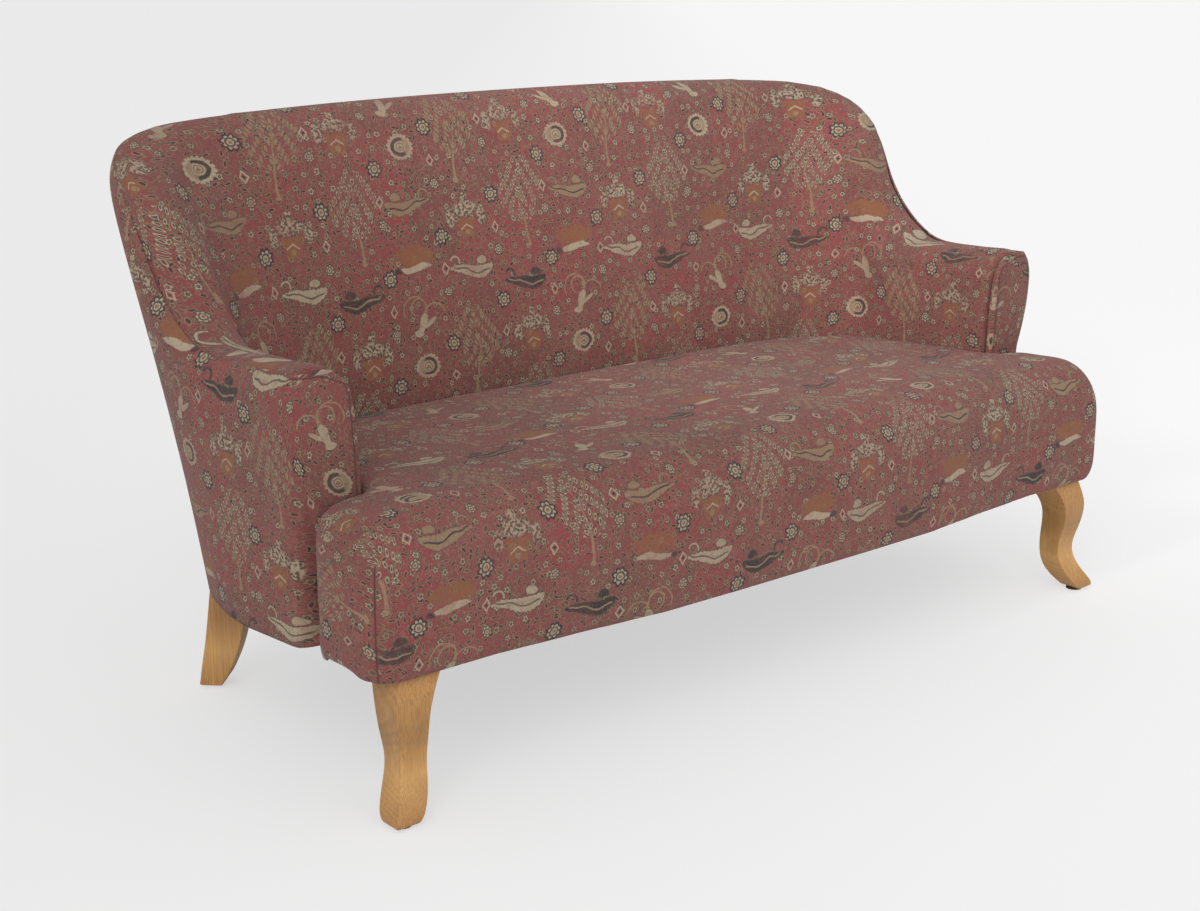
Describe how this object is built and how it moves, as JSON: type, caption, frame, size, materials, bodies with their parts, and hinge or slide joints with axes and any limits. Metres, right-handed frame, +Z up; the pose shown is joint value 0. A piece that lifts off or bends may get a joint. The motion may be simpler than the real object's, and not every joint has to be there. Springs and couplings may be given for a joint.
{
  "type": "camelback sofa",
  "caption": "Upholstered sofa with a humped back, rolled wrap-round arms, a T-shaped sprung seat and curved wooden legs.",
  "frame": {"origin": "centre of the bounding box, on the floor under the glides", "axes": "+X along the sofa's length to the sitter's left, +Y from the front to the back, +Z up"},
  "size_m": [1.7144, 0.8406, 0.9477],
  "materials": {
    "upholstery": "worn printed cloth, faded red ground with small cream, ochre and dark motifs",
    "foam": "soft foam padding",
    "frame_timber": "planed beech",
    "webbing": "woven elastic webbing",
    "steel": "drawn steel wire and rod",
    "leg_timber": "honey coloured oak, satin, grain upright",
    "glide": "felted plastic",
    "lining": "thin black dust cloth"
  },
  "bodies": {
    "root": {"seat_cover": "upholstery", "inside_back_cover": "upholstery", "outside_back_cover": "upholstery", "inside_arm_cover_right": "upholstery", "inside_arm_cover_left": "upholstery", "outside_arm_cover_right": "upholstery", "outside_arm_cover_left": "upholstery", "arm_facing_right": "upholstery", "arm_facing_left": "upholstery", "seat_foam": "foam", "back_foam": "foam", "arm_foam_right": "foam", "arm_foam_left": "foam", "back_rail": "frame_timber", "side_rail_right": "frame_timber", "side_rail_left": "frame_timber", "arm_post_right": "frame_timber", "arm_post_left": "frame_timber", "corner_post_right": "frame_timber", "corner_post_left": "frame_timber", "back_stile_right": "frame_timber", "back_stile_left": "frame_timber", "back_stile_centre": "frame_timber", "back_tack_rail": "frame_timber", "arm_tack_rail_right": "frame_timber", "arm_tack_rail_left": "frame_timber", "top_rail": "frame_timber", "wing_rail_right": "frame_timber", "wing_rail_left": "frame_timber", "arm_rail_right": "frame_timber", "arm_rail_left": "frame_timber", "front_rail": "frame_timber", "seat_cross_rail": "frame_timber", "front_corner_block_right": "frame_timber", "front_corner_block_left": "frame_timber", "rear_corner_rail_right": "frame_timber", "rear_corner_rail_left": "frame_timber", "back_webbing_1": "webbing", "back_webbing_2": "webbing", "seat_spring_1": "steel", "seat_spring_2": "steel", "seat_spring_3": "steel", "seat_spring_4": "steel", "seat_spring_5": "steel", "seat_spring_6": "steel", "front_leg_bolt_right": "steel", "front_leg_bolt_left": "steel", "rear_leg_bolt_right": "steel", "rear_leg_bolt_left": "steel", "front_leg_right": "leg_timber", "front_leg_left": "leg_timber", "rear_leg_right": "leg_timber", "rear_leg_left": "leg_timber", "front_glide_right": "glide", "front_glide_left": "glide", "rear_glide_right": "glide", "rear_glide_left": "glide", "dust_cover": "lining"}
  },
  "joints": []
}
